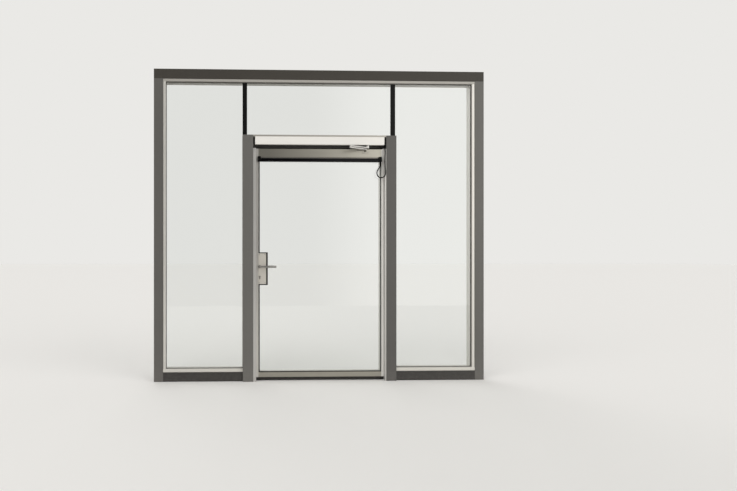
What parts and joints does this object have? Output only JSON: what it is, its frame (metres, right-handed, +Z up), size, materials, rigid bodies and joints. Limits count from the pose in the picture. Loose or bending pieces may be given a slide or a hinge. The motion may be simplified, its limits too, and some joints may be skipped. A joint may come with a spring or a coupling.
{
  "type": "glazed partition screen with a swing door",
  "caption": "Glazed interior screen with sidelights and overpanel round a single-leaf swing door with overhead operator.",
  "frame": {"origin": "centre of the hinge post's foot on the floor, in the middle plane of the fixed glass", "axes": "+X along the screen from the lock side to the hinge side, +Y away from the operator side, the way the leaf opens, +Z up"},
  "size_m": [3.062, 0.2124, 2.866],
  "materials": {
    "frame_dark": "satin",
    "post_grey": "satin",
    "bead_satin": "satin",
    "clear_glass": "polished",
    "joint_black": "matte",
    "gasket_black": "matte",
    "leaf_steel": "brushed",
    "lock_steel": "brushed",
    "cover_white": "satin",
    "chassis_dark": "satin",
    "arm_silver": "satin",
    "sensor_black": "satin",
    "cable_black": "matte"
  },
  "bodies": {
    "screen": {"head_frame": "frame_dark", "left_jamb": "frame_dark", "right_jamb": "frame_dark", "left_sill": "frame_dark", "right_sill": "frame_dark", "head_bead": "bead_satin", "jamb_beads": "bead_satin", "sill_beads": "bead_satin", "rear_head_bead": "bead_satin", "rear_jamb_beads": "bead_satin", "rear_sill_beads": "bead_satin", "front_gasket": "gasket_black", "rear_gasket": "gasket_black", "left_sidelight_glass": "clear_glass", "right_sidelight_glass": "clear_glass", "overpanel_glass": "clear_glass", "left_glass_joint": "joint_black", "right_glass_joint": "joint_black", "lock_post": "post_grey", "hinge_post": "post_grey", "door_header": "post_grey", "lock_stop": "post_grey", "hinge_stop": "post_grey", "stop_seals": "gasket_black", "strike_plate": "lock_steel", "frame_hinges": "lock_steel", "operator_chassis": "chassis_dark", "operator_cover": "cover_white", "cable_gland": "sensor_black", "door_cable": "cable_black"},
    "leaf": {"lock_stile": "leaf_steel", "hinge_stile": "leaf_steel", "top_rail": "leaf_steel", "bottom_rail": "leaf_steel", "leaf_glass": "clear_glass", "leaf_gasket": "gasket_black", "leaf_rear_bead": "leaf_steel", "drop_seal": "gasket_black", "leaf_hinges": "lock_steel", "arm_shoe": "arm_silver", "sensor_bar": "sensor_black", "sensor_strip": "bead_satin", "sensor_end_caps": "sensor_black", "lock_case": "lock_steel"},
    "lever": {"outside_lever": "lock_steel", "inside_lever": "lock_steel"},
    "arm": {"drive_arm": "arm_silver"},
    "link": {"link_arm": "arm_silver"}
  },
  "joints": [
    {"name": "door_hinge", "type": "hinge", "parent": "screen", "child": "leaf", "pos_m": [-0.05, 0.0515, 0], "axis": [0, 0, -1], "range_deg": [0, 95], "stiffness_Nm_per_rad": 12, "springref_deg": -51.57, "deforming": ["door_cable"]},
    {"name": "arm_pivot", "type": "hinge", "parent": "screen", "child": "arm", "pos_m": [-0.215, -0.0275, 0], "axis": [0, 0, -1], "range_deg": [0, 95]},
    {"name": "link_pivot", "type": "hinge", "parent": "arm", "child": "link", "pos_m": [-0.39726, -0.10486, 0], "axis": [0, 0, 1], "range_deg": [0, 95]},
    {"name": "lever_spindle", "type": "hinge", "parent": "leaf", "child": "lever", "pos_m": [-1.2145, 0, 1.053], "axis": [0, 1, 0], "range_deg": [0, 45], "stiffness_Nm_per_rad": 3, "springref_deg": -22.92}
  ],
  "couplings": [
    {"joint": "arm_pivot", "follows": "door_hinge", "ratio": 1},
    {"joint": "link_pivot", "follows": "door_hinge", "ratio": 1}
  ]
}
